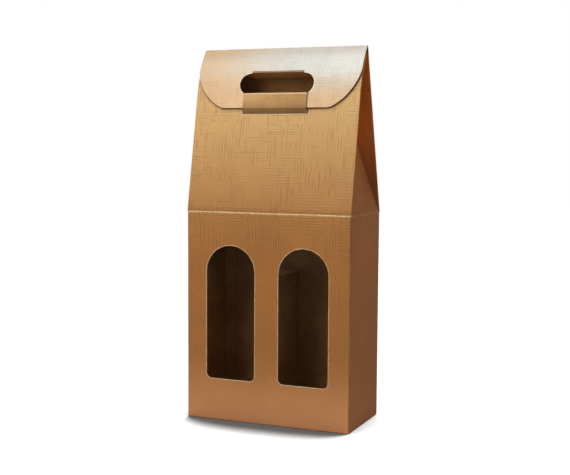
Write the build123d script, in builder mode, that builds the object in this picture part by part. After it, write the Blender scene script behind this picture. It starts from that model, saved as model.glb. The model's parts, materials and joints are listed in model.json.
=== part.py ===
from build123d import *

import os
from math import acos, asin, atan2, cos, sin

# Gable-topped carrier folded from one sheet of board, with its lid locked shut.
# Sizes are in millimetres. +Z is up, the front faces -Y, and the origin is the middle of the base.

# The erected box
carrier_width = 180.0
carrier_depth = 90.0
carrier_height = 386.6  # to the sharp line of the ridge fold
crease_height = 216.1  # where the upright walls end and the gable starts
board = 1.2
fold_radius = 0.5  # inside of the upright folds
foot_radius = 0.7  # outside of the folds round the base
bead_radius = 0.9  # pressed bead along the front and back creases
bead_proud = 0.4

# The gable: the upper front bows out between the crease and the ridge
gable_bow = 9.0
knee_drop = 53.5  # from the ridge down to where the bow is widest
ridge_radius = 1.4
ridge_room = 10.0  # the inner layers end this far from the ridge

# The arched windows
window_width = 54.4
window_bottom = 43.2
window_top = 182.3
window_bar = 26.2  # board left between the two windows
window_corner = 5.5

# The lid and its hand hole
lid_gap = 0.8  # air between the lid and the upper front
lid_strip = 13.8  # board left under the hand hole
lid_corner_run = 31.0
lid_corner_rise = 38.0
lid_corner_sagitta = 6.0
lid_corner_radius = 14.0  # blends the lower edge into the corner's arc
hole_margin = 49.0  # board left at each end of the hand hole
hole_height = 22.5
hole_fold_inset = 12.2  # the flap's fold is shorter than the hole by this at each end
hole_fold_rise = 2.5  # and lies this far above the hole's round ends
front_hole_margin = 3.0  # the hole in the upper front is wider than the lid's by this

# The folds that swing
fold_clearance = 0.3
grip_kerf = 0.4
tongue_inset = 6.0  # the tongue is narrower than the hole by this at each side
tongue_bend_radius = 1.1
tongue_drop = 3.8  # the tongue meets the front this far below the lid's edge
tongue_tuck = 0.9
slit_margin = 2.0
lip_radius = 0.7  # pushed-out lip under the slit
lip_proud = 0.45

# The base flaps and the glued tab at one back corner
glue_tab_width = 14.0
glue_tab_setback = 4.0  # the tab stops short of the base and the crease
side_flap_reach = 46.0
side_flap_taper = 14.0
seam_width = 0.8
seam_step = 18.0

# The loose divider
divider_board = 0.8
divider_height = 150.0
divider_flap = 36.0
divider_bend_radius = 1.2
divider_clearance = 0.3

# Cuts run past the board by this much
overrun = 5.0
cut_depth = 12.0

half_width = carrier_width / 2
half_depth = carrier_depth / 2
half_board = board / 2
hole_width = carrier_width - 2 * hole_margin
hole_fold_width = hole_width - 2 * hole_fold_inset
tongue_width = hole_width - 2 * tongue_inset

# The gable's section is worked out in the plane of depth and height
crease = Vector(-half_depth, crease_height)
ridge = Vector(0, carrier_height)
slope = ridge - crease
slope_up = slope.normalized()
slope_out = Vector(-slope_up.Y, slope_up.X)
knee = crease + slope_up * (slope.length - knee_drop) + slope_out * gable_bow
front_flat = (knee - crease).length
along = (knee - crease).normalized()
outward = Vector(-along.Y, along.X)
lean = atan2(along.X, along.Y)

# The lid lies flat on the upper front as far as the knee and bends from there to the ridge
lid_stand = lid_gap + board
lid_start = crease + outward * lid_stand
lid_knee = knee + outward * lid_stand
knee_to_ridge = ridge - lid_knee
bend_radius = knee_to_ridge.dot(knee_to_ridge) / (2 * knee_to_ridge.dot(-outward))
bend_centre = lid_knee - outward * bend_radius
bend_run = 2 * bend_radius * asin(knee_to_ridge.length / (2 * bend_radius))
front_top = front_flat + bend_run - ridge_room

# The upper back is flat, from the back crease to the ridge
back_crease = Vector(half_depth, crease_height)
back_down = (back_crease - ridge).normalized()
back_out = Vector(-back_down.Y, back_down.X)

# Places up the front slope, from the crease
tongue_axis = front_flat
hole_bottom = tongue_axis - half_board - fold_clearance
hole_top = hole_bottom + hole_height
fold_line = hole_top + hole_fold_rise
lid_low = hole_bottom - lid_strip

# The tongue comes out of the hole, lies on the lid's lower strip and dips into the slit
tongue_height = lid_stand + fold_clearance + half_board
tongue_bend = lid_low - fold_clearance
tongue_entry = lid_low - tongue_drop
tongue_dip = Vector(tongue_bend - tongue_entry, tongue_height)
tongue_tip = tongue_entry - tongue_tuck * tongue_dip.X / tongue_dip.Y
slit_low = tongue_tip - half_board - fold_clearance
slit_high = tongue_entry + half_board * tongue_dip.length / tongue_dip.Y + fold_clearance

# The grip flap hangs from the hole's top fold and rests just short of the upper back
grip_root = hole_fold_rise - half_board - fold_clearance
grip_radius = bend_radius - half_board
grip_angle = lean + asin((hole_top + grip_root - front_flat) / grip_radius)
grip_axis = bend_centre + Vector(-cos(grip_angle), sin(grip_angle)) * grip_radius
grip_room = (ridge - grip_axis).dot(back_out) - board - half_board - fold_clearance
grip_swing = acos(min(grip_room / (grip_root + hole_height - grip_kerf), 1))
grip_reach = back_out * cos(grip_swing) + back_down * sin(grip_swing)
grip_plane = Plane(
    origin=(0, grip_axis.X, grip_axis.Y),
    x_dir=(1, 0, 0),
    z_dir=(0, grip_reach.Y, -grip_reach.X),
)

# Half the divider's room between the walls is lost to board and clearance
divider_margin = board + divider_clearance + divider_board / 2

lid_plane = Plane(
    origin=(0, lid_start.X, lid_start.Y),
    x_dir=(1, 0, 0),
    z_dir=(0, outward.X, outward.Y),
)


def slope_point(run, depth):
    # a point this far up the front slope and this far under the lid's outer face
    if run <= front_flat:
        return lid_start + along * run - outward * depth
    angle = lean + (run - front_flat) / bend_radius
    return bend_centre + Vector(-cos(angle), sin(angle)) * (bend_radius - depth)


def front_point(run, height):
    # a point up the flat of the upper front, this far out of its face
    return crease + along * run + outward * height


def back_point(run, depth):
    # a point this far down the upper back from the ridge, under its outer face
    return ridge + back_down * run - back_out * depth


def slope_layer(outer, inner):
    # outline of a layer of board on the front slope, between two depths under the lid's face
    middle = (front_flat + front_top) / 2
    with BuildLine() as outline:
        Line(slope_point(0, outer), slope_point(front_flat, outer))
        ThreePointArc(*[slope_point(run, outer) for run in (front_flat, middle, front_top)])
        Line(slope_point(front_top, outer), slope_point(front_top, inner))
        ThreePointArc(*[slope_point(run, inner) for run in (front_top, middle, front_flat)])
        Line(slope_point(front_flat, inner), slope_point(0, inner))
        Line(slope_point(0, inner), slope_point(0, outer))
    return outline.edges()


def upright_walls():
    # the four upright walls, the base flaps and the windows
    with BuildPart() as walls:
        with BuildSketch():
            RectangleRounded(carrier_width, carrier_depth, fold_radius + board)
            RectangleRounded(
                carrier_width - 2 * board, carrier_depth - 2 * board, fold_radius, mode=Mode.SUBTRACT
            )
        extrude(amount=crease_height)

        # front and back base flaps meet in a stepped seam
        with BuildSketch():
            Rectangle(carrier_width - board, carrier_depth - board)
            for side in (1, -1):
                with Locations((side * half_width / 2, side * seam_step / 2)):
                    Rectangle(half_width + seam_width, seam_width, mode=Mode.SUBTRACT)
            Rectangle(seam_width, seam_step, mode=Mode.SUBTRACT)
        extrude(amount=board)

        # side base flaps lie on them
        with BuildSketch(Plane.XY.offset(board)):
            for side in (1, -1):
                with BuildLine():
                    Polyline(
                        (side * (half_width - half_board), half_depth - half_board),
                        (side * (half_width - side_flap_reach), half_depth - side_flap_taper),
                        (side * (half_width - side_flap_reach), side_flap_taper - half_depth),
                        (side * (half_width - half_board), half_board - half_depth),
                        close=True,
                    )
                make_face()
        extrude(amount=board)

        foot = walls.faces().sort_by(Axis.Z)[0].outer_wire().edges()
        fillet(foot, foot_radius)

        # glued tab inside the back
        with BuildSketch(Plane.XY.offset(2 * board + glue_tab_setback)):
            with Locations((half_board - half_width, half_depth - half_board)):
                Rectangle(glue_tab_width, 2 * board - half_board, align=(Align.MIN, Align.MAX))
        extrude(amount=crease_height - 2 * board - 2 * glue_tab_setback)

        # windows with round tops
        arch_radius = window_width / 2
        window_sill = window_top - arch_radius - window_bottom
        with BuildSketch(Plane.XZ.offset(half_depth)) as openings:
            for side in (1, -1):
                with Locations((side * (window_bar + window_width) / 2, window_bottom)):
                    Rectangle(window_width, window_sill, align=(Align.CENTER, Align.MIN))
            fillet(openings.vertices().group_by(Axis.Y)[0], window_corner)
            for side in (1, -1):
                with Locations((side * (window_bar + window_width) / 2, window_bottom + window_sill)):
                    Circle(arch_radius)
        extrude(amount=-board - overrun, mode=Mode.SUBTRACT)
    return walls.part


def lid_and_back():
    # the upper back, the ridge fold and the lid, in one strip
    with BuildPart() as strip:
        with BuildSketch(Plane.YZ):
            with BuildLine() as outside:
                Line(slope_point(lid_low - overrun, 0), lid_knee)
                bend = TangentArc(lid_knee, ridge, tangent=along)
                Line(bend @ 1, back_crease)
                fillet(outside.vertices().sort_by(Axis.Y)[-1], ridge_radius)
                offset(amount=board, side=Side.RIGHT)
            make_face()
        extrude(amount=half_width, both=True)

        # the lid's lower edge and its round corners
        corner_start = half_width - lid_corner_run
        corner_end = lid_low + lid_corner_rise
        with BuildSketch(lid_plane):
            with BuildLine() as lower_edge:
                Line((0, lid_low), (corner_start, lid_low))
                SagittaArc((corner_start, lid_low), (half_width, corner_end), -lid_corner_sagitta)
                fillet(lower_edge.vertices().sort_by_distance((corner_start, lid_low))[0], lid_corner_radius)
                Polyline(
                    (half_width, corner_end),
                    (half_width + overrun, corner_end),
                    (half_width + overrun, lid_low - 2 * overrun),
                    (0, lid_low - 2 * overrun),
                    (0, lid_low),
                )
            make_face()
            mirror(about=Plane.YZ)
        extrude(amount=cut_depth, both=True, mode=Mode.SUBTRACT)

        # hand hole: square at its foot for the tongue, raised at its top to the flap's fold
        with BuildSketch(lid_plane):
            with Locations((0, (hole_bottom + hole_top) / 2)):
                SlotOverall(hole_width, hole_height)
            with Locations((0, hole_bottom)):
                Rectangle(
                    tongue_width + slit_margin, hole_height / 2, align=(Align.CENTER, Align.MIN)
                )
            with Locations((0, fold_line)):
                Rectangle(hole_fold_width, hole_height / 2, align=(Align.CENTER, Align.MAX))
        extrude(amount=cut_depth, both=True, mode=Mode.SUBTRACT)
    return strip.part


def front_slope():
    # the upper front, with its hand hole and the slit that takes the tongue
    with BuildPart() as panel:
        with BuildSketch(Plane.YZ):
            make_face(slope_layer(lid_stand, lid_stand + board))
        extrude(amount=half_width, both=True)

        with BuildSketch(lid_plane):
            with Locations((0, hole_bottom)):
                RectangleRounded(
                    hole_width + front_hole_margin,
                    hole_height + 2 * front_hole_margin,
                    hole_height / 2,
                    align=(Align.CENTER, Align.MIN),
                )
                Rectangle(
                    tongue_width + slit_margin, hole_height / 2, align=(Align.CENTER, Align.MIN)
                )
        extrude(amount=-cut_depth, mode=Mode.SUBTRACT)

        with BuildSketch(lid_plane):
            with Locations((0, slit_low)):
                Rectangle(
                    tongue_width + slit_margin, slit_high - slit_low, align=(Align.CENTER, Align.MIN)
                )
        extrude(amount=-cut_depth, mode=Mode.SUBTRACT)

        with BuildSketch(Plane.YZ):
            with Locations(front_point(slit_low - lip_radius, lip_proud - lip_radius)):
                Circle(lip_radius)
        extrude(amount=(tongue_width + slit_margin) / 2, both=True)
    return panel.part


def gable_end():
    # one end gusset, pushed in between the upper front and back
    front_middle = lid_stand + half_board
    curve_middle = (front_flat + front_top) / 2
    with BuildPart() as gusset:
        with BuildSketch(Plane.YZ):
            with BuildLine():
                Line(slope_point(0, front_middle), slope_point(front_flat, front_middle))
                ThreePointArc(
                    slope_point(front_flat, front_middle),
                    slope_point(curve_middle, front_middle),
                    slope_point(front_top, front_middle),
                )
                Polyline(
                    slope_point(front_top, front_middle),
                    back_point(ridge_room, half_board),
                    back_point(slope.length, half_board),
                    slope_point(0, front_middle),
                )
            make_face()
        extrude(amount=half_width)
        board_across = board * Vector(half_depth, carrier_height - crease_height).length
        board_across = board_across / (carrier_height - crease_height)
        with BuildSketch(Plane.XZ):
            with BuildLine():
                Polyline(
                    (half_width, crease_height),
                    (half_width - half_depth, carrier_height),
                    (half_width - half_depth - board_across, carrier_height),
                    (half_width - board_across, crease_height),
                    close=True,
                )
            make_face()
        extrude(amount=carrier_depth, both=True, mode=Mode.INTERSECT)
    return gusset.part


def gable_wings():
    # the gusset's wings, glued inside the upper front and the upper back
    with BuildPart() as wings:
        with BuildSketch(Plane.YZ):
            make_face(slope_layer(lid_stand + half_board, lid_stand + 2 * board))
            with BuildLine():
                Polyline(
                    back_point(ridge_room, half_board),
                    back_point(slope.length, half_board),
                    back_point(slope.length, 2 * board),
                    back_point(ridge_room, 2 * board),
                    close=True,
                )
            make_face()
        extrude(amount=half_width)
        with BuildSketch(Plane.XZ):
            with BuildLine():
                Polyline(
                    (half_width, crease_height),
                    (half_width, carrier_height),
                    (half_width - half_depth, carrier_height),
                    close=True,
                )
            make_face()
        extrude(amount=carrier_depth, both=True, mode=Mode.INTERSECT)
    return wings.part


with BuildPart() as carrier:
    add(upright_walls())
    add(front_slope())
    add(lid_and_back())
    for end_piece in (gable_end(), gable_wings()):
        add(end_piece)
        mirror(end_piece, about=Plane.YZ)
    # pressed beads along the creases
    with BuildSketch(Plane.YZ):
        for side in (1, -1):
            with Locations((side * (half_depth + bead_proud - bead_radius), crease_height)):
                Circle(bead_radius)
    extrude(amount=half_width - fold_radius - board, both=True)

with BuildPart() as lock_tongue:
    with BuildSketch(Plane.YZ):
        with BuildLine():
            FilletPolyline(
                front_point(tongue_axis, -half_board),
                front_point(tongue_axis, tongue_height),
                front_point(tongue_bend, tongue_height),
                front_point(tongue_tip, -tongue_tuck),
                radius=tongue_bend_radius,
            )
            offset(amount=half_board)
        make_face()
    extrude(amount=tongue_width / 2, both=True)

with BuildPart() as grip_flap:
    with BuildSketch(grip_plane):
        with Locations((0, -grip_root - hole_height / 2)):
            SlotOverall(hole_width - 2 * grip_kerf, hole_height - 2 * grip_kerf)
        Rectangle(
            hole_fold_width - 2 * grip_kerf, hole_height / 2, align=(Align.CENTER, Align.MAX)
        )
    extrude(amount=half_board, both=True)
    with BuildSketch(Plane.YZ):
        with Locations(grip_axis):
            Circle(half_board)
    extrude(amount=hole_fold_width / 2 - grip_kerf, both=True)

with BuildPart() as divider:
    with BuildSketch(Plane.XY.offset(board)):
        with BuildLine():
            FilletPolyline(
                (0, divider_margin - half_depth),
                (0, half_depth - divider_margin),
                (-divider_flap, half_depth - divider_margin),
                radius=divider_bend_radius,
            )
            offset(amount=divider_board / 2)
        make_face()
    extrude(amount=divider_height - board)

os.makedirs("parts", exist_ok=True)
carrier.part.label = "carrier"
export_step(carrier.part, "parts/carrier.step")
lock_tongue.part.label = "lock_tongue"
export_step(lock_tongue.part, "parts/lock_tongue.step")
grip_flap.part.label = "grip_flap"
export_step(grip_flap.part, "parts/grip_flap.step")
divider.part.label = "divider"
export_step(divider.part, "parts/divider.step")
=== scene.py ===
import json
from math import atan2, cos, pi, radians, sin

import bmesh
import bpy
from mathutils import Matrix, Vector


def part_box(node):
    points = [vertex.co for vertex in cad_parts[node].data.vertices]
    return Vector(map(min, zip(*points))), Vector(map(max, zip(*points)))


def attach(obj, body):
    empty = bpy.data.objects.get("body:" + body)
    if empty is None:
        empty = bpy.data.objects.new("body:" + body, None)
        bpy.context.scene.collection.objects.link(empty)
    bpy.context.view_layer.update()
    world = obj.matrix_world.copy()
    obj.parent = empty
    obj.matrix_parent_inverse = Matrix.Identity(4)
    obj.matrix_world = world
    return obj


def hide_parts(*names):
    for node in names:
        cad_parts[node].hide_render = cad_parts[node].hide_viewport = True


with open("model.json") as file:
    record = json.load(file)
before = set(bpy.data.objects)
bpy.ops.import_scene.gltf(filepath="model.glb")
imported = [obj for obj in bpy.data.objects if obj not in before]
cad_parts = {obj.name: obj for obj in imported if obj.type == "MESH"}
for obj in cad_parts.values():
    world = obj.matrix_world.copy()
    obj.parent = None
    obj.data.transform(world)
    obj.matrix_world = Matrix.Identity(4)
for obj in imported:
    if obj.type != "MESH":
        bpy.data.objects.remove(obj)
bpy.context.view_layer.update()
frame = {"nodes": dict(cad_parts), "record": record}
record = frame["record"]
print("frame loaded:", sorted(frame["nodes"]))

# sizes of the folded sheet, in metres, as the solids have them
sheet = {
    "board": 0.0012,
    "creaseHeight": 0.2161,
    "beadProud": 0.0004,
    "lidStand": 0.002,       # lid's outer face above the upper front's
    "ridgeHeight": 0.3866,   # sharp line of the ridge fold
    "slack": 0.0003,
}
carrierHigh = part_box("carrier")[1]
halfWidth = carrierHigh.x
halfDepth = carrierHigh.y - sheet["beadProud"]


# the sides of the sheet, in the order of each piece's skins
outsideSkin, insideSkin, edgeSkin, endSkin = range(4)
# how squarely a face has to look one way to count as facing it
squarely = {
    "end": 0.8, "sheet": 0.6, "back": 0.4, "wall": 0.3, "base": 0.5, "divider": 0.5, "tongue": 0.1,
}


def jointPlace(name):
    joint = next(j for j in record["behaviour"]["joints"] if j["name"] == name)
    return Vector(joint["pos_m"])


# the upper front rises straight from the crease to the tongue's fold, and bends back from there
crease = Vector((-halfDepth, sheet["creaseHeight"]))
ridge = Vector((0.0, sheet["ridgeHeight"]))
tongueFold = jointPlace("tongue_fold")
foldPoint = Vector((tongueFold.y, tongueFold.z))
toFold = foldPoint - crease
lean = atan2(toFold.x, toFold.y) - atan2(sheet["board"] / 2, toFold.length)
slopeUp = Vector((sin(lean), cos(lean)))
slopeOut = Vector((-cos(lean), sin(lean)))
slopeRun = (foldPoint - crease).dot(slopeUp)
lidKnee = crease + slopeUp * slopeRun + slopeOut * sheet["lidStand"]
kneeToRidge = ridge - lidKnee
bendRadius = kneeToRidge.length_squared / (2 * kneeToRidge.dot(-slopeOut))
bendCentre = lidKnee - slopeOut * bendRadius
backOut = Vector((ridge.y - crease.y, halfDepth)).normalized()


def frontHeight(y, z):
    # how far a point stands out of the upper front's outer face, and which way that face looks
    point = Vector((y, z))
    if (point - crease).dot(slopeUp) <= slopeRun:
        return (point - crease).dot(slopeOut), slopeOut
    fromCentre = point - bendCentre
    return fromCentre.length - bendRadius + sheet["lidStand"], fromCentre.normalized()


def carrierSide(centre, normal):
    # which side of the sheet a face of the carrier shows
    x, y, z = centre
    if z < sheet["creaseHeight"] + sheet["slack"]:
        return wallSide(x, y, z, normal)
    return gableSide(x, y, z, normal)


def wallSide(x, y, z, normal):
    board = sheet["board"]
    atSide = abs(x) > halfWidth - board - sheet["slack"]
    atFace = abs(y) > halfDepth - board - sheet["slack"]
    if z < board * 1.1 and abs(x) < halfWidth - board and abs(y) < halfDepth - board:
        if normal.z < -squarely["base"]:
            return outsideSkin
        return edgeSkin if abs(normal.z) < squarely["base"] else insideSkin
    if atSide or atFace:
        outwards = 0.0
        if atSide:
            outwards = max(outwards, normal.x * (1 if x > 0 else -1))
        if atFace:
            outwards = max(outwards, normal.y * (1 if y > 0 else -1))
        if outwards > squarely["wall"] or (normal.z < -squarely["wall"] and z < 2 * board):
            return outsideSkin
        facingWall = abs(normal.y) if abs(y) > halfDepth - 2 * board else 0
        if y < 0 and abs(x) < halfWidth - 2 * board and facingWall < squarely["base"]:
            return edgeSkin
    return insideSkin


def gableSide(x, y, z, normal):
    board = sheet["board"]
    slack = sheet["slack"]
    wingDepth = -1.7 * board   # the gusset's wings lie deeper than this
    height, outward = frontHeight(y, z)
    facing = normal.y * outward.x + normal.z * outward.y
    backHeight = (Vector((y, z)) - ridge).dot(backOut)
    backFacing = normal.y * backOut.x + normal.z * backOut.y
    if abs(normal.x) > squarely["end"] and abs(x) > halfWidth - slack:
        return edgeSkin if height > slack and backHeight < -2 * board else outsideSkin
    if abs(normal.x) > squarely["end"]:
        if abs(height - sheet["lidStand"] / 2) < sheet["lidStand"]:
            return edgeSkin
        return outsideSkin if normal.x * (1 if x > 0 else -1) > 0 else insideSkin
    if backHeight > -slack and backFacing > squarely["back"]:
        return outsideSkin
    if facing > squarely["sheet"] and height > -slack:
        return outsideSkin
    if facing > squarely["sheet"]:
        return endSkin if backHeight < wingDepth else insideSkin
    if facing < -squarely["sheet"]:
        return endSkin if height < wingDepth else insideSkin
    if backFacing < -squarely["sheet"]:
        return endSkin if backHeight < wingDepth else insideSkin
    return edgeSkin


def tongueSide(centre, normal):
    # the tongue is folded out and over, so the sheet's inside faces the viewer
    if abs(normal.x) > squarely["end"]:
        return edgeSkin
    facing = normal.y * slopeOut.x + normal.z * slopeOut.y
    return insideSkin if facing > -squarely["tongue"] else outsideSkin


def gripSide(centre, normal):
    # the flap is folded in, so the sheet's outside faces down
    if abs(normal.z) < squarely["sheet"]:
        return edgeSkin
    return outsideSkin if normal.z < 0 else insideSkin


def dividerSide(centre, normal):
    return edgeSkin if abs(normal.z) > squarely["divider"] else insideSkin


# shader helpers
def socketOf(group, name, kind, way):
    return group.interface.new_socket(name=name, in_out=way, socket_type="NodeSocket" + kind)


class Wiring:
    # adds nodes to one tree and joins them
    def __init__(self, tree):
        self.tree = tree
        self.column = 0

    def node(self, kind, **settings):
        made = self.tree.nodes.new(kind)
        made.location = (self.column * 180, 0)
        self.column += 1
        for key, value in settings.items():
            setattr(made, key, value)
        return made

    def put(self, value, socket):
        if isinstance(value, bpy.types.NodeSocket):
            self.tree.links.new(value, socket)
        else:
            socket.default_value = value

    def math(self, operation, first, second=0.0, third=None, clamp=False):
        made = self.node("ShaderNodeMath", operation=operation, use_clamp=clamp)
        self.put(first, made.inputs[0])
        self.put(second, made.inputs[1])
        if third is not None:
            self.put(third, made.inputs[2])
        return made.outputs[0]

    def ramp(self, value, low, high, toLow=0.0, toHigh=1.0, smooth=True):
        made = self.node("ShaderNodeMapRange", clamp=True)
        made.interpolation_type = "SMOOTHSTEP" if smooth else "LINEAR"
        for socket, number in zip(made.inputs[:5], (value, low, high, toLow, toHigh)):
            self.put(number, socket)
        return made.outputs[0]

    def noise(self, vector, scale, detail=2.0, roughness=0.5):
        made = self.node("ShaderNodeTexNoise")
        self.put(vector, made.inputs["Vector"])
        self.put(scale, made.inputs["Scale"])
        self.put(detail, made.inputs["Detail"])
        self.put(roughness, made.inputs["Roughness"])
        return made.outputs["Fac"]

    def swing(self, noise, low, high):
        # the middle band of a noise, where nearly all of it lies, spread between two values
        return self.ramp(noise, 0.3, 0.7, low, high)

    def bump(self, height, strength, depth, under=None):
        made = self.node("ShaderNodeBump")
        self.put(strength, made.inputs["Strength"])
        self.put(depth, made.inputs["Distance"])
        self.put(height, made.inputs["Height"])
        if under is not None:
            self.put(under, made.inputs["Normal"])
        return made.outputs[0]

    def seenRay(self):
        # 1 for rays that show this straight, mirrored or through something
        ray = self.node("ShaderNodeLightPath").outputs
        mirrored = self.math("MAXIMUM", ray["Is Glossy Ray"], ray["Is Transmission Ray"])
        return self.math("MAXIMUM", ray["Is Camera Ray"], mirrored)

    def vector(self, x=0.0, y=0.0, z=0.0):
        made = self.node("ShaderNodeCombineXYZ")
        for socket, number in zip(made.inputs, (x, y, z)):
            self.put(number, socket)
        return made.outputs[0]

    def split(self, vector):
        made = self.node("ShaderNodeSeparateXYZ")
        self.put(vector, made.inputs[0])
        return made.outputs

    def length(self, first, second):
        firstSquare = self.math("MULTIPLY", first, first)
        return self.math("SQRT", self.math("ADD", firstSquare, self.math("MULTIPLY", second, second)))

    def along(self, y, z, way):
        return self.math("ADD", self.math("MULTIPLY", y, way.x), self.math("MULTIPLY", z, way.y))

    def pick(self, mask, first, second):
        made = self.node("ShaderNodeMix", data_type="FLOAT")
        for socket, value in zip(made.inputs[0:1] + made.inputs[2:4], (mask, first, second)):
            self.put(value, socket)
        return made.outputs[0]

    def mix(self, share, first, second, blend="MIX"):
        made = self.node("ShaderNodeMix", data_type="RGBA", blend_type=blend)
        self.put(share, made.inputs[0])
        self.put(first, made.inputs[6])
        self.put(second, made.inputs[7])
        return made.outputs[2]


def newGroup(name, inputs, outputs):
    group = bpy.data.node_groups.new(name, "ShaderNodeTree")
    for label, kind in inputs:
        socketOf(group, label, kind, "INPUT")
    for label, kind in outputs:
        socketOf(group, label, kind, "OUTPUT")
    wiring = Wiring(group)
    start = wiring.node("NodeGroupInput")
    end = wiring.node("NodeGroupOutput")
    return group, wiring, start.outputs, end.inputs


thread = {
    "scatter": 91.0, "rowStep": 7.13,          # how unlike two rows are
    "sway": 0.45,                              # rows leave their even pitch by this much
    "line": (0.03, 0.28), "lip": (0.02, 0.2), "lipOff": 0.3,   # in pitches
    "kept": (0.48, 0.54),                      # noise level from which a stretch is pressed
    "upright": 0.8,                            # upright stretches are shorter
    "finePitch": 0.31, "fineShare": 0.15,
    "biteUp": (0.10, 0.21), "footBite": 0.4,   # the press bites less towards the foot
    "full": 1.2,
}


def threadRows(w, along, over, pitch, run, seed):
    # broken lines of thread and the lit lips beside them, each row cut into stretches of its own
    place = w.math("DIVIDE", over, pitch)
    row = w.math("FLOOR", place)
    chance = w.node("ShaderNodeTexWhiteNoise", noise_dimensions="1D")
    w.put(w.math("ADD", row, seed), chance.inputs["W"])
    offset = w.math("MULTIPLY", chance.outputs["Value"], thread["scatter"])
    onRow = w.math("ADD", w.math("DIVIDE", along, run), offset)
    stretch = w.noise(w.vector(onRow, w.math("MULTIPLY", row, thread["rowStep"]), seed), 1.0, 1.0)
    sway = w.math("MULTIPLY", w.math("SUBTRACT", chance.outputs["Value"], 0.5), thread["sway"])
    off = w.math("SUBTRACT", w.math("SUBTRACT", w.math("FRACT", place), 0.5), sway)
    line = w.ramp(w.math("ABSOLUTE", off), *thread["line"], 1.0, 0.0)
    lip = w.ramp(w.math("ABSOLUTE", w.math("ADD", off, thread["lipOff"])), *thread["lip"], 1.0, 0.0)
    kept = w.ramp(stretch, *thread["kept"])
    return w.math("MULTIPLY", line, kept), w.math("MULTIPLY", lip, kept)


def makeSheetRun():
    # length up the sheet from the base, round the gable's bend, and 1 on the lid
    group, w, given, out = newGroup(
        "sheetRun", [("Place", "Vector")], [("Up", "Float"), ("Lid", "Float")]
    )
    _, y, z = w.split(given["Place"])
    overY = w.math("SUBTRACT", y, crease.x)
    overZ = w.math("SUBTRACT", z, crease.y)
    flatRun = w.along(overY, overZ, slopeUp)
    flatHeight = w.along(overY, overZ, slopeOut)
    fromY = w.math("SUBTRACT", bendCentre.x, y)
    fromZ = w.math("SUBTRACT", z, bendCentre.y)
    turn = w.math("ARCTAN2", fromZ, fromY)
    bendRun = w.math("ADD", w.math("MULTIPLY", w.math("SUBTRACT", turn, lean), bendRadius), slopeRun)
    bendHeight = w.math("SUBTRACT", w.length(fromY, fromZ), bendRadius - sheet["lidStand"])
    onGable = w.math("MULTIPLY", w.math("GREATER_THAN", overZ, 0.0), w.math("LESS_THAN", y, 0.0))
    onBend = w.math("GREATER_THAN", flatRun, slopeRun)
    gableRun = w.pick(onBend, flatRun, bendRun)
    height = w.pick(onBend, flatHeight, bendHeight)
    w.put(w.pick(onGable, z, w.math("ADD", gableRun, crease.y)), out["Up"])
    overFront = w.math("GREATER_THAN", height, sheet["lidStand"] * 0.7)
    w.put(w.math("MULTIPLY", onGable, overFront), out["Lid"])
    return group


def makeLinenEmboss():
    # crossed threads pressed into the sheet, stronger in patches
    group, w, given, out = newGroup(
        "linenEmboss",
        [
            ("Place", "Vector"), ("Facing", "Vector"), ("Up", "Float"),
            ("Pitch", "Float"), ("Run", "Float"), ("Patch", "Float"),
        ],
        [("Height", "Float"), ("Threads", "Float"), ("Lips", "Float")],
    )
    x, y, _ = w.split(given["Place"])
    facingX, _, facingZ = w.split(given["Facing"])
    onSide = w.math("GREATER_THAN", w.math("ABSOLUTE", facingX), 0.6)
    onBase = w.math("GREATER_THAN", w.math("ABSOLUTE", facingZ), 0.9)
    across = w.pick(onSide, x, y)
    up = w.pick(onBase, given["Up"], y)
    layer = w.math("MULTIPLY", onSide, 7.0)   # other patches on the sides
    upright = w.math("MULTIPLY", given["Run"], thread["upright"])
    bite = w.ramp(given["Up"], *thread["biteUp"], thread["footBite"], 1.0)
    level, levelLip = threadRows(w, across, up, given["Pitch"], given["Run"], 3.0)
    stand, standLip = threadRows(w, up, across, given["Pitch"], upright, 11.0)
    finePitch = w.math("MULTIPLY", given["Pitch"], thread["finePitch"])
    fineLevel = threadRows(w, across, up, finePitch, given["Run"], 23.0)[0]
    fineStand = threadRows(w, up, across, finePitch, upright, 31.0)[0]
    patchAcross = w.math("DIVIDE", across, given["Patch"])
    patchPlace = w.vector(patchAcross, w.math("DIVIDE", up, given["Patch"]), layer)
    levelPatch = w.ramp(w.noise(patchPlace, 1.0, 2.0), 0.36, 0.6, 0.1, 1.0)
    standPatch = w.ramp(w.noise(patchPlace, 1.37, 2.0), 0.35, 0.57, 0.08, 1.0)
    bold = w.math("ADD", w.math("MULTIPLY", level, levelPatch), w.math("MULTIPLY", stand, standPatch))
    bold = w.math("MULTIPLY", bold, bite)
    fine = w.math("ADD", fineLevel, fineStand)
    w.put(w.math("ADD", bold, w.math("MULTIPLY", fine, thread["fineShare"])), out["Height"])
    w.put(w.ramp(bold, 0.0, thread["full"], smooth=False), out["Threads"])
    levelLip = w.math("MULTIPLY", levelLip, levelPatch)
    lips = w.math("ADD", levelLip, w.math("MULTIPLY", standLip, standPatch))
    w.put(w.ramp(w.math("MULTIPLY", lips, bite), 0.0, thread["full"], smooth=False), out["Lips"])
    return group


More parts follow.
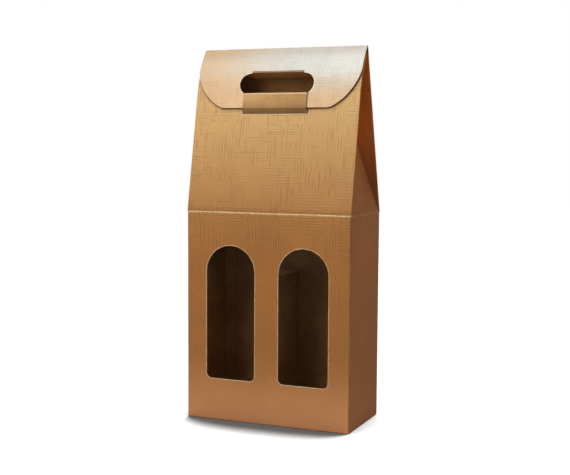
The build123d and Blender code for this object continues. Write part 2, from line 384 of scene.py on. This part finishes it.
def makeFoldWearAndHighlight():
    # 1 on the folded edges of the sheet, 0 away from them
    group, w, given, out = newGroup(
        "foldWearAndHighlight",
        [("Place", "Vector"), ("Reach", "Float")],
        [("Fold", "Float"), ("Crease", "Float")],
    )
    x, y, z = w.split(given["Place"])
    sideGap = w.math("SUBTRACT", w.math("ABSOLUTE", x), halfWidth)
    faceGap = w.math("SUBTRACT", w.math("ABSOLUTE", y), halfDepth)
    creaseGap = w.math("SUBTRACT", z, sheet["creaseHeight"])
    corner = w.length(sideGap, faceGap)
    frontCrease = w.length(faceGap, creaseGap)
    sideCrease = w.length(sideGap, creaseGap)
    ridgeFold = w.length(y, w.math("SUBTRACT", z, carrierHigh.z))
    frontBase = w.length(faceGap, z)
    sideBase = w.length(sideGap, z)
    nearest = corner
    for gap in (sideCrease, ridgeFold, frontBase, sideBase):
        nearest = w.math("MINIMUM", nearest, gap)
    fray = w.noise(given["Place"], 260.0, 3.0, 0.65)
    wornReach = w.math("MULTIPLY", given["Reach"], w.swing(fray, 0.4, 1.5))
    w.put(w.ramp(w.math("DIVIDE", nearest, wornReach), 0.2, 1.0, 1.0, 0.0), out["Fold"])
    # the crease bead, where a worn line and a painted highlight lie
    bead = w.ramp(frontCrease, 0.0006, 0.0013, 1.0, 0.0)
    w.put(w.math("MULTIPLY", bead, w.ramp(fray, 0.3, 0.6, 0.6, 1.0)), out["Crease"])
    return group


def makeBoardFibre():
    # short fibres and faint clouds of plain board
    group, w, given, out = newGroup(
        "boardFibre",
        [("Place", "Vector"), ("Fibre", "Float"), ("Cloud", "Float")],
        [("Fibres", "Float"), ("Clouds", "Float")],
    )
    x, y, z = w.split(given["Place"])
    fine = w.math("DIVIDE", 1.0, given["Fibre"])
    long = w.math("MULTIPLY", fine, 0.18)   # fibres are this much coarser lengthways
    fineX, fineY, fineZ = (w.math("MULTIPLY", axis, fine) for axis in (x, y, z))
    lying = w.noise(w.vector(w.math("MULTIPLY", x, long), fineY, fineZ), 1.0, 3.0, 0.6)
    standing = w.noise(w.vector(fineX, fineY, w.math("MULTIPLY", z, long)), 1.0, 3.0, 0.6)
    w.put(w.math("MULTIPLY", w.math("ADD", lying, standing), 0.5), out["Fibres"])
    w.put(w.noise(given["Place"], w.math("DIVIDE", 1.0, given["Cloud"]), 3.0, 0.55), out["Clouds"])
    return group


cutouts = {
    "windowCentre": 0.0403, "windowHalf": 0.0272, "windowBottom": 0.0432, "windowSpring": 0.1551,
    "windowCorner": 0.0055,
    "holeCentre": 0.13352, "holeHalf": 0.0298, "holeRadius": 0.01125,
    "lipCentre": 0.1021, "lipHalf": 0.036, "lipReach": 0.0004,
}


def makeCutRim():
    # 1 along the rims of the windows and the hand hole, where the die raised the board, and along the
    # slit's lip, for a painted highlight there
    group, w, given, out = newGroup(
        "cutRim", [("Place", "Vector"), ("Reach", "Float")], [("Rim", "Float")]
    )
    x, y, z = w.split(given["Place"])
    side = w.math("ABSOLUTE", x)
    fromMiddle = w.math("SUBTRACT", side, cutouts["windowCentre"])
    overSpring = w.math("MAXIMUM", w.math("SUBTRACT", z, cutouts["windowSpring"]), 0.0)
    arch = w.math("SUBTRACT", w.length(fromMiddle, overSpring), cutouts["windowHalf"])
    corner = cutouts["windowCorner"]
    outOfCorner = w.math("SUBTRACT", w.math("ABSOLUTE", fromMiddle), cutouts["windowHalf"] - corner)
    underCorner = w.math("SUBTRACT", cutouts["windowBottom"] + corner, z)
    inwards = w.math("MINIMUM", w.math("MAXIMUM", outOfCorner, underCorner), 0.0)
    outwards = w.length(w.math("MAXIMUM", outOfCorner, 0.0), w.math("MAXIMUM", underCorner, 0.0))
    window = w.math("MAXIMUM", arch, w.math("SUBTRACT", w.math("ADD", outwards, inwards), corner))
    upSlope = w.along(w.math("SUBTRACT", y, crease.x), w.math("SUBTRACT", z, crease.y), slopeUp)
    pastHalf = w.math("MAXIMUM", w.math("SUBTRACT", side, cutouts["holeHalf"]), 0.0)
    fromHole = w.length(pastHalf, w.math("SUBTRACT", upSlope, cutouts["holeCentre"]))
    hole = w.math("SUBTRACT", fromHole, cutouts["holeRadius"])
    # a metre is added on the wrong side of the crease, which puts the rim out of reach
    hole = w.math("ADD", hole, w.math("LESS_THAN", z, sheet["creaseHeight"]))
    window = w.math("ADD", window, w.math("GREATER_THAN", z, sheet["creaseHeight"]))
    nearest = w.math("MINIMUM", w.math("ABSOLUTE", window), w.math("ABSOLUTE", hole))
    # the slit's lip, where a painted highlight goes
    fromLip = w.math("ABSOLUTE", w.math("SUBTRACT", upSlope, cutouts["lipCentre"]))
    pastLip = w.math("SUBTRACT", side, cutouts["lipHalf"])
    lip = w.math("MAXIMUM", w.math("SUBTRACT", fromLip, cutouts["lipReach"]), pastLip)
    nearest = w.math("MINIMUM", nearest, w.math("MAXIMUM", lip, 0.0))
    onFront = w.math("LESS_THAN", y, 0.0)
    fray = w.swing(w.noise(given["Place"], 420.0, 2.0, 0.6), 0.5, 1.4)
    reach = w.math("MULTIPLY", given["Reach"], fray)
    rim = w.ramp(w.math("DIVIDE", nearest, reach), 0.3, 1.0, 1.0, 0.0)
    w.put(w.math("MULTIPLY", rim, onFront), out["Rim"])
    return group


def makeSheetSwell():
    # height of the springy sheet: the lid's bulge, and the upper front's bow under it
    group, w, given, out = newGroup(
        "sheetSwell",
        [
            ("Rise", "Float"), ("Lid", "Float"), ("Middle", "Float"),
            ("Spring", "Float"), ("Bow", "Float"), ("Span", "Float"),
        ],
        [("Height", "Float")],
    )
    fromMiddle = w.math("SUBTRACT", given["Rise"], given["Middle"])
    bulge = w.math("MULTIPLY", w.math("MULTIPLY", fromMiddle, fromMiddle), given["Spring"])
    above = w.math("MAXIMUM", given["Rise"], 0.0)
    toSpan = w.math("SUBTRACT", given["Span"], above)
    bow = w.math("MULTIPLY", w.math("MULTIPLY", above, toSpan), given["Bow"])
    w.put(w.pick(given["Lid"], bow, bulge), out["Height"])
    return group


sheetRun = makeSheetRun()
linenEmboss = makeLinenEmboss()
foldWearAndHighlight = makeFoldWearAndHighlight()
cutRim = makeCutRim()
boardFibre = makeBoardFibre()
sheetSwell = makeSheetSwell()


def startMaterial(name):
    made = bpy.data.materials.new(name)
    made.use_nodes = True
    made.node_tree.nodes.clear()
    w = Wiring(made.node_tree)
    source = w.node("ShaderNodeTexCoord").outputs
    shader = w.node("ShaderNodeBsdfPrincipled")
    end = w.node("ShaderNodeOutputMaterial")
    w.put(shader.outputs[0], end.inputs[0])
    return made, w, source["Object"], source["Normal"], shader


def useGroup(w, group, **values):
    made = w.node("ShaderNodeGroup")
    made.node_tree = group
    for key, value in values.items():
        w.put(value, made.inputs[key])
    return made.outputs


outsideLook = {
    "copper": ((0.266, 0.100, 0.022, 1), (0.420, 0.174, 0.046, 1)),   # dark and light of each tone
    # painted sheen: gold where the sheet leans back into the light, over the copper board
    "litGold": ((0.352, 0.200, 0.057, 1), (0.572, 0.342, 0.124, 1)),
    # painted sheen: the lid is painted paler than the gable below it
    "lidSheen": ((0.365, 0.207, 0.084, 1), (0.505, 0.300, 0.128, 1)),
    "lidGleam": ((0.328, 0.254, 0.180, 1), (0.442, 0.350, 0.255, 1)),   # painted cool highlight on the lid's upper right
    # painted light: paler and warmer near the base
    "foot": ((0.475, 0.208, 0.080, 1), (0.675, 0.315, 0.134, 1)),
    # pale worn folds of the carrier
    "paleFold": (0.640, 0.400, 0.190, 1),
    # the crease line: partly worn, partly a painted highlight
    "creaseWearAndHighlight": (0.780, 0.520, 0.260, 1),
    # raw cut edge on the rims, and a painted highlight on the slit's lip
    "cutEdgeAndLipHighlight": (0.720, 0.520, 0.320, 1),
    "litGoldUp": (0.155, 0.36), "footTo": 0.075,   # up the sheet
    "gleamAcross": (-0.080, 0.015), "gleamUp": (0.109, 0.140),   # across the lid and up the gable
    "nookShare": 1.0, "nook": (0.110, 0.040, 0.009, 1),   # painted shade under the lid's edge
    "nookReach": 0.007, "nookShut": 0.60, "nookOpen": 0.97, "nookSamples": 12,
    "creaseShadeTo": 0.008, "creaseShadeShare": 0.36,   # and painted shade where the upper front bends in above the crease
    "pitch": 0.0029, "run": 0.024, "patch": 0.040,
    "fibre": 0.0006, "cloud": 0.07,
    "plainShade": 0.6,   # between the dark and the light of a tone
    # painted shade in the pressed threads and a painted highlight on their lips
    "threadShade": -0.50, "lipHighlight": 0.85, "lidThreads": 0.6,
    "cloudColour": 0.14, "fibreColour": 0.08,
    "roughness": 0.44, "threadRoughness": 0.08,
    "metallic": 0.15,
    "specular": 0.32, "specularTint": (1.0, 0.92, 0.66, 1),
    "lidCoat": 1.0, "dullLidCoat": 0.85, "gableCoat": 0.3, "plainCoat": 0.06,
    "coatRoughness": 0.32, "coatBend": 1.65,
    "bump": 1.0, "bumpDepth": 0.00026,
    "waveBump": 0.3, "waveDepth": 0.0012, "waveScale": 11.0,
    "lidSpring": 1.75, "lidMiddle": 0.148,   # how the lid bulges between the ridge and its lower edge
    "gableBow": 1.1, "gableSpan": 0.10,      # and the upper front between the crease and the tongue
    "foldReach": 0.0012, "foldShare": 0.30, "creaseShare": 0.90,
    "rimReach": 0.0009, "rimShare": 0.85,
}
sideLook = dict(
    outsideLook,
    copper=((0.280, 0.105, 0.038, 1), (0.440, 0.182, 0.072, 1)),
    # painted light: the upper gusset, which lies in shade, is painted a brighter gold
    litGold=((0.540, 0.175, 0.030, 1), (0.780, 0.285, 0.060, 1)), litGoldUp=(0.235, 0.32),
    foot=((0.290, 0.110, 0.042, 1), (0.450, 0.190, 0.078, 1)),
    roughness=0.62, specular=0.06, gableCoat=0.0, plainCoat=0.0, nookShare=0.0,
    threadShade=-0.3, lipHighlight=0.25,
)
gripLook = dict(
    # painted light: the grip flap's underside, in shade inside the hand hole, is painted a brighter gold
    outsideLook, litGold=((0.640, 0.262, 0.062, 1), (0.920, 0.405, 0.105, 1)), nookShare=0.0
)


def shadeNooks(w, look, colour, upGable, lid, creaseWearAndHighlight):
    # painted shade: darker above the crease and close under the lid's edge
    onGable = w.math("GREATER_THAN", upGable, 0.0)
    bend = w.math("MULTIPLY", w.ramp(upGable, 0.0, look["creaseShadeTo"], look["creaseShadeShare"], 0.0), onGable)
    colour = w.mix(w.math("MULTIPLY", bend, w.math("SUBTRACT", 1.0, creaseWearAndHighlight)), colour, look["nook"])
    nook = w.node("ShaderNodeAmbientOcclusion", samples=look["nookSamples"])
    nook.inputs["Distance"].default_value = look["nookReach"]
    shut = w.ramp(nook.outputs["AO"], look["nookShut"], look["nookOpen"], look["nookShare"], 0.0)
    offLid = w.math("SUBTRACT", 1.0, lid)
    underLid = w.math("MULTIPLY", w.ramp(upGable, 0.0, look["gableSpan"]), offLid)
    return w.mix(w.math("MULTIPLY", shut, underLid), colour, look["nook"])


def makeOutside(name, look):
    # linen-embossed face of the sheet: copper board, with painted sheen that turns it gold up the gable
    # and paler on the lid, and painted light at its foot
    made, w, place, facing, shader = startMaterial(name)
    run = useGroup(w, sheetRun, Place=place)
    emboss = useGroup(
        w, linenEmboss, Place=place, Facing=facing, Up=run["Up"],
        Pitch=look["pitch"], Run=look["run"], Patch=look["patch"],
    )
    fibre = useGroup(w, boardFibre, Place=place, Fibre=look["fibre"], Cloud=look["cloud"])
    fold = useGroup(w, foldWearAndHighlight, Place=place, Reach=look["foldReach"])
    rim = useGroup(w, cutRim, Place=place, Reach=look["rimReach"])
    upGable = w.math("SUBTRACT", run["Up"], crease.y)
    swell = useGroup(
        w, sheetSwell, Rise=upGable, Lid=run["Lid"], Middle=look["lidMiddle"],
        Spring=look["lidSpring"], Bow=look["gableBow"], Span=look["gableSpan"],
    )

    # where each tone lies between its dark and its light
    # painted shade in the threads and painted highlight on the lips beside them, for the embossed relief
    threads = w.math("MULTIPLY", emboss["Threads"], look["threadShade"])
    shade = w.math("ADD", threads, w.math("MULTIPLY", emboss["Lips"], look["lipHighlight"]))
    pressed = w.pick(run["Lid"], 1.0, look["lidThreads"])
    shade = w.math("ADD", w.math("MULTIPLY", shade, pressed), look["plainShade"])
    shade = w.math("ADD", shade, w.swing(fibre["Clouds"], -look["cloudColour"], look["cloudColour"]))
    fibres = w.swing(fibre["Fibres"], -look["fibreColour"], look["fibreColour"])
    shade = w.math("ADD", shade, fibres, clamp=True)

    # painted sheen and light: the gold tone rises up the gable
    litUpper = w.ramp(run["Up"], *look["litGoldUp"])
    # painted light, paler towards the base
    lowDown = w.ramp(run["Up"], 0.0, look["footTo"], 1.0, 0.0)
    colour = w.mix(litUpper, w.mix(shade, *look["copper"]), w.mix(shade, *look["litGold"]))
    colour = w.mix(lowDown, colour, w.mix(shade, *look["foot"]))
    # painted sheen on the lid, and a painted cool highlight towards its upper right
    acrossLid = w.ramp(w.split(place)[0], *look["gleamAcross"])
    gleamShare = w.math("MULTIPLY", acrossLid, w.ramp(upGable, *look["gleamUp"]))
    lidColour = w.mix(gleamShare, w.mix(shade, *look["lidSheen"]), w.mix(shade, *look["lidGleam"]))
    colour = w.mix(run["Lid"], colour, lidColour)
    # pale worn folds, the crease line partly worn and partly a painted highlight, and the cut rims, with
    # a painted highlight on the slit's lip
    for mask, share, tone in (
        (fold["Fold"], "foldShare", "paleFold"),
        (fold["Crease"], "creaseShare", "creaseWearAndHighlight"),
        (rim["Rim"], "rimShare", "cutEdgeAndLipHighlight"),
    ):
        colour = w.mix(w.math("MULTIPLY", mask, look[share]), colour, look[tone])
    if look["nookShare"] > 0:
        colour = shadeNooks(w, look, colour, upGable, run["Lid"], fold["Crease"])
    w.put(colour, shader.inputs["Base Color"])

    between = look["roughness"] + look["threadRoughness"]
    rough = w.ramp(emboss["Threads"], 0.0, 1.0, between, look["roughness"], smooth=False)
    w.put(rough, shader.inputs["Roughness"])
    shader.inputs["Metallic"].default_value = look["metallic"]
    shader.inputs["Specular IOR Level"].default_value = look["specular"]
    shader.inputs["Specular Tint"].default_value = look["specularTint"]
    handled = w.swing(fibre["Clouds"], look["dullLidCoat"], look["lidCoat"])   # hands polish the lid
    coat = w.pick(litUpper, look["plainCoat"], look["gableCoat"])
    w.put(w.pick(run["Lid"], coat, handled), shader.inputs["Coat Weight"])
    shader.inputs["Coat Roughness"].default_value = look["coatRoughness"]
    shader.inputs["Coat IOR"].default_value = look["coatBend"]

    spring = w.bump(swell["Height"], 1.0, 1.0)
    wave = w.bump(w.noise(place, look["waveScale"], 1.0), look["waveBump"], look["waveDepth"], spring)
    weave = w.bump(emboss["Height"], look["bump"], look["bumpDepth"], wave)
    w.put(weave, shader.inputs["Normal"])
    return made


insideLook = {
    "dark": (0.220, 0.105, 0.034, 1),
    "light": (0.430, 0.240, 0.090, 1),
    "fibre": 0.0005, "cloud": 0.05,
    "fibreShare": 0.6, "cloudShare": 0.3,
    "roughness": 0.72, "roughSpread": 0.1,
    "bump": 0.7, "bumpDepth": 0.00016, "threadShare": 1.2,
    "pitch": 0.0023, "run": 0.024, "patch": 0.040,
    # pale along the tongue's fold, a painted highlight; the plain inside has none
    "paleFold": (0.760, 0.520, 0.290, 1), "foldShare": 0.0, "foldReach": (0.0005, 0.0017),
    "dipShade": 1.0, "dipUp": (0.103, 0.121),   # painted shade: how bright the sheet stays where it dips into the slit
}


def boardShade(w, fibre, look):
    # where plain board lies between its dark and its light
    half = look["fibreShare"] / 2
    clouds = w.swing(fibre["Clouds"], -look["cloudShare"], look["cloudShare"])
    return w.math("ADD", w.swing(fibre["Fibres"], 0.5 - half, 0.5 + half), clouds, clamp=True)


def boardRoughness(w, fibre, look):
    return w.swing(fibre["Fibres"], look["roughness"] + look["roughSpread"], look["roughness"])


def makeInside(name, look):
    # plain matt face of the sheet
    made, w, place, facing, shader = startMaterial(name)
    fibre = useGroup(w, boardFibre, Place=place, Fibre=look["fibre"], Cloud=look["cloud"])
    run = useGroup(w, sheetRun, Place=place)
    emboss = useGroup(
        w, linenEmboss, Place=place, Facing=facing, Up=run["Up"],
        Pitch=look["pitch"], Run=look["run"], Patch=look["patch"],
    )
    # painted highlight along the fold where the tongue turns over the hole's edge
    foldGap = w.math("ABSOLUTE", w.math("SUBTRACT", run["Up"], crease.y + slopeRun))
    folded = w.ramp(foldGap, *look["foldReach"], look["foldShare"], 0.0)
    colour = w.mix(boardShade(w, fibre, look), look["dark"], look["light"])
    # painted shade where the sheet dips into the slit
    dipLow, dipHigh = look["dipUp"]
    dipped = w.ramp(run["Up"], crease.y + dipLow, crease.y + dipHigh, look["dipShade"], 1.0)
    colour = w.mix(1.0, colour, w.vector(dipped, dipped, dipped), blend="MULTIPLY")
    w.put(w.mix(folded, colour, look["paleFold"]), shader.inputs["Base Color"])
    w.put(boardRoughness(w, fibre, look), shader.inputs["Roughness"])
    pressed = w.math("MULTIPLY", emboss["Height"], look["threadShare"])
    height = w.math("ADD", fibre["Fibres"], pressed)
    w.put(w.bump(height, look["bump"], look["bumpDepth"]), shader.inputs["Normal"])
    return made


edgeLook = {
    "dark": (0.360, 0.215, 0.105, 1),
    "light": (0.690, 0.500, 0.300, 1),
    "fibre": 0.00022, "cloud": 0.012,
    "fibreShare": 0.8, "cloudShare": 0.25,
    "roughness": 0.85, "roughSpread": 0.1,
    "bump": 0.5, "bumpDepth": 0.00008,
}


def makeCutEdge(name, look):
    # raw edge where the die went through
    made, w, place, _, shader = startMaterial(name)
    fibre = useGroup(w, boardFibre, Place=place, Fibre=look["fibre"], Cloud=look["cloud"])
    colour = w.mix(boardShade(w, fibre, look), look["dark"], look["light"])
    w.put(colour, shader.inputs["Base Color"])
    w.put(boardRoughness(w, fibre, look), shader.inputs["Roughness"])
    w.put(w.bump(fibre["Fibres"], look["bump"], look["bumpDepth"]), shader.inputs["Normal"])
    return made


# the tongue gets a painted highlight along its fold and painted shade where it dips into the slit
tongueLook = dict(
    insideLook, dark=(0.410, 0.208, 0.062, 1), light=(0.720, 0.415, 0.158, 1),
    fibreShare=0.4, bump=1.0, foldShare=0.85, dipShade=0.52,
)
dividerLook = dict(
    insideLook, dark=(0.230, 0.115, 0.045, 1), light=(0.450, 0.265, 0.125, 1), cloud=0.035
)

outside = makeOutside("goldLinenBoard", outsideLook)
outsideGrip = makeOutside("gripLinenBoard", gripLook)
outsideEnd = makeOutside("copperLinenBoard", sideLook)
inside = makeInside("plainKraftInside", insideLook)
tongueFace = makeInside("handledKraft", tongueLook)
cutEdge = makeCutEdge("cutBoardEdge", edgeLook)
dividerCard = makeInside("dividerCard", dividerLook)
print("materials made")

boards = {
    "carrierBoard": {
        "node": "carrier", "body": "carrier", "slot": "outer_board",
        "side": carrierSide, "skins": (outside, inside, cutEdge, outsideEnd),
    },
    "tongueBoard": {
        "node": "lock_tongue", "body": "lock_tongue", "slot": "inner_board",
        "side": tongueSide, "skins": (outside, tongueFace, cutEdge),
    },
    "gripBoard": {
        "node": "grip_flap", "body": "grip_flap", "slot": "outer_board",
        "side": gripSide, "skins": (outsideGrip, inside, cutEdge),
    },
    "dividerBoard": {
        "node": "divider", "body": "carrier", "slot": "divider_board",
        "side": dividerSide, "skins": (dividerCard, dividerCard, cutEdge),
    },
}
rounding = {
    "weld": 1e-6, "flat": radians(0.2),
    "width": 0.00022, "segments": 2, "angle": radians(38), "weight": 100,
}


def dressBoard(name, facts):
    # the solid's own faces, welded, sorted into the sheet's sides, with its sharp edges eased
    mesh = bpy.data.meshes.new(name)
    shape = bmesh.new()
    shape.from_mesh(frame["nodes"][facts["node"]].data)
    bmesh.ops.remove_doubles(shape, verts=shape.verts, dist=rounding["weld"])
    shape.normal_update()
    for face in shape.faces:
        skin = facts["side"](face.calc_center_median(), face.normal)
        atEnd = abs(face.normal.x) > squarely["sheet"] and len(facts["skins"]) > endSkin
        face.material_index = endSkin if skin == outsideSkin and atEnd else skin
        face.smooth = True
    bmesh.ops.dissolve_limit(
        shape, angle_limit=rounding["flat"], verts=shape.verts, edges=shape.edges,
        delimit={"MATERIAL"},
    )
    shape.to_mesh(mesh)
    shape.free()
    for skin in facts["skins"]:
        mesh.materials.append(skin)
    piece = bpy.data.objects.new(name, mesh)
    bpy.context.scene.collection.objects.link(piece)
    bevel = piece.modifiers.new("easedEdges", "BEVEL")
    bevel.width = rounding["width"]
    bevel.segments = rounding["segments"]
    bevel.limit_method = "ANGLE"
    bevel.angle_limit = rounding["angle"]
    evened = piece.modifiers.new("evenedNormals", "WEIGHTED_NORMAL")
    evened.weight = rounding["weight"]
    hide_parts(facts["node"])
    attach(piece, facts["body"])


for boardName, boardFacts in boards.items():
    dressBoard(boardName, boardFacts)
print("boards dressed")

floorLook = {
    "size": 8.0, "drop": 0.0002,
    "colour": (0.42, 0.42, 0.42, 1),
    "shaded": (0.16, 0.155, 0.15, 1),
    "glow": 0.93,
    "contactReach": 0.08, "contactShut": 0.44, "contactOpen": 0.71, "contactSamples": 16,
    "contactWay": Vector((0.05, 0.73, 0.68)),   # the shade falls forwards, away from this way
}


def makeFloor():
    # pale floor, white to the camera except close to the base
    mesh = bpy.data.meshes.new("floor")
    half = floorLook["size"] / 2
    corners = ((-half, -half), (half, -half), (half, half), (-half, half))
    mesh.from_pydata([(x, y, -floorLook["drop"]) for x, y in corners], [], [(0, 1, 2, 3)])
    floor = bpy.data.objects.new("floor", mesh)
    bpy.context.scene.collection.objects.link(floor)
    made = bpy.data.materials.new("paleFloor")
    made.use_nodes = True
    made.node_tree.nodes.clear()
    w = Wiring(made.node_tree)
    plain = w.node("ShaderNodeBsdfDiffuse")
    seen = w.seenRay()
    contact = w.node("ShaderNodeAmbientOcclusion", samples=floorLook["contactSamples"])
    contact.inputs["Distance"].default_value = floorLook["contactReach"]
    w.put(w.vector(*floorLook["contactWay"].normalized()), contact.inputs["Normal"])
    glow = w.node("ShaderNodeEmission")
    openness = w.ramp(contact.outputs["AO"], floorLook["contactShut"], floorLook["contactOpen"])
    w.put(w.mix(openness, floorLook["shaded"], floorLook["colour"]), plain.inputs["Color"])
    lit = w.math("MULTIPLY", seen, openness)
    w.put(w.math("MULTIPLY", lit, floorLook["glow"]), glow.inputs["Strength"])
    both = w.node("ShaderNodeAddShader")
    end = w.node("ShaderNodeOutputMaterial")
    w.put(plain.outputs[0], both.inputs[0])
    w.put(glow.outputs[0], both.inputs[1])
    w.put(both.outputs[0], end.inputs[0])
    mesh.materials.append(made)


makeFloor()

lamps = {
    "overheadSoftbox": {
        "place": (-0.20, -0.47, 1.17), "aim": (0.03, 0.0, 0.34),
        "size": (0.55, 0.55), "power": 7.2, "colour": (0.62, 0.84, 1.0),
    },
    "frontFill": {
        "place": (-0.55, -1.32, 1.07), "aim": (0.0, 0.0, 0.25),
        "size": (1.1, 0.95), "power": 12.4, "colour": (1.0, 0.77, 0.56),
    },
    "sideFill": {
        "place": (1.75, -0.45, 0.75), "aim": (0.05, 0.0, 0.2),
        "size": (0.8, 0.8), "power": 4.6, "colour": (1.0, 0.86, 0.76),
    },
    "backFill": {
        "place": (-0.9, 1.6, 0.9), "aim": (0.0, 0.0, 0.2),
        "size": (0.9, 0.7), "power": 9.0, "colour": (1.0, 0.97, 0.92),
    },
}
ambient = {"light": 0.20, "tint": (1.0, 0.92, 0.87, 1), "seen": 1.0, "white": (1.0, 1.0, 1.0, 1)}


def makeLamps():
    for name, facts in lamps.items():
        light = bpy.data.lights.new(name, "AREA")
        light.shape = "RECTANGLE"
        light.size, light.size_y = facts["size"]
        light.energy = facts["power"]
        light.color = facts["colour"]
        lamp = bpy.data.objects.new(name, light)
        lamp.location = facts["place"]
        towards = Vector(facts["aim"]) - Vector(facts["place"])
        lamp.rotation_euler = towards.to_track_quat("-Z", "Y").to_euler()
        bpy.context.scene.collection.objects.link(lamp)


def makeWorld():
    world = bpy.data.worlds.new("studio")
    bpy.context.scene.world = world
    world.use_nodes = True
    world.node_tree.nodes.clear()
    w = Wiring(world.node_tree)
    seen = w.seenRay()
    sky = w.node("ShaderNodeBackground")
    w.put(w.mix(seen, ambient["tint"], ambient["white"]), sky.inputs["Color"])
    w.put(w.ramp(seen, 0.0, 1.0, ambient["light"], ambient["seen"], smooth=False), sky.inputs["Strength"])
    end = w.node("ShaderNodeOutputWorld")
    w.put(sky.outputs[0], end.inputs[0])


makeLamps()
makeWorld()
print("studio lit")

view = {
    "place": (0.43963, -1.03275, 0.28575),
    "yaw": radians(23.0), "pitch": radians(4.93), "roll": radians(0.36),
    "focalPixels": 1076.3, "imageWidth": 570, "sensor": 36.0,
}


def makeCamera():
    lens = bpy.data.cameras.new("photoCamera")
    lens.sensor_fit = "HORIZONTAL"
    lens.sensor_width = view["sensor"]
    lens.lens = view["focalPixels"] * view["sensor"] / view["imageWidth"]
    camera = bpy.data.objects.new("photoCamera", lens)
    turn = Matrix.Rotation(view["yaw"], 4, "Z") @ Matrix.Rotation(pi / 2 - view["pitch"], 4, "X")
    camera.matrix_world = Matrix.Translation(view["place"]) @ turn @ Matrix.Rotation(view["roll"], 4, "Z")
    bpy.context.scene.collection.objects.link(camera)
    bpy.context.scene.camera = camera


makeCamera()
bpy.context.scene.view_settings.view_transform = "Standard"

print("scene ready")
